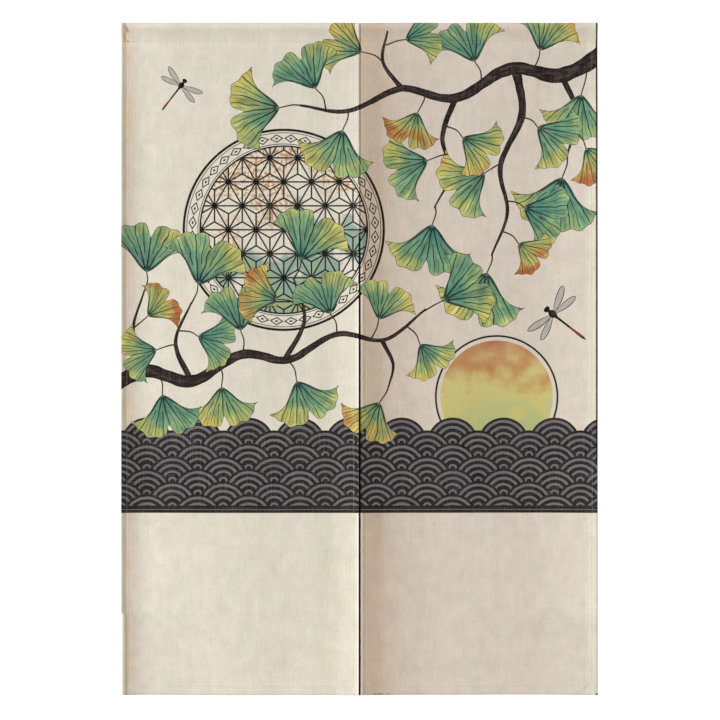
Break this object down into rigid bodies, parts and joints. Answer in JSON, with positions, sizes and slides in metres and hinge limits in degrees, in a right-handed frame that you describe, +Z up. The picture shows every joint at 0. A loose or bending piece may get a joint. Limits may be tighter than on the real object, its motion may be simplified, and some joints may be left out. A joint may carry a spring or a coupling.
{
  "type": "noren curtain",
  "caption": "Split door curtain of printed cloth panels with an open rod pocket along the top, hung flat with soft folds and a centre slit.",
  "frame": {"origin": "middle of the top edge of the rod pocket", "axes": "+Z up, +X to the right as seen from the front, and the printed front faces -Y"},
  "size_m": [0.8506, 0.0213, 1.2],
  "materials": {
    "pocket_cloth": "plain weave linen-cotton, matte",
    "left_cloth": "plain weave linen-cotton, matte, printed on the front",
    "right_cloth": "plain weave linen-cotton, matte, printed on the front"
  },
  "bodies": {
    "root": {"rod_pocket": "pocket_cloth", "panel_left": "left_cloth", "panel_right": "right_cloth"}
  },
  "joints": []
}
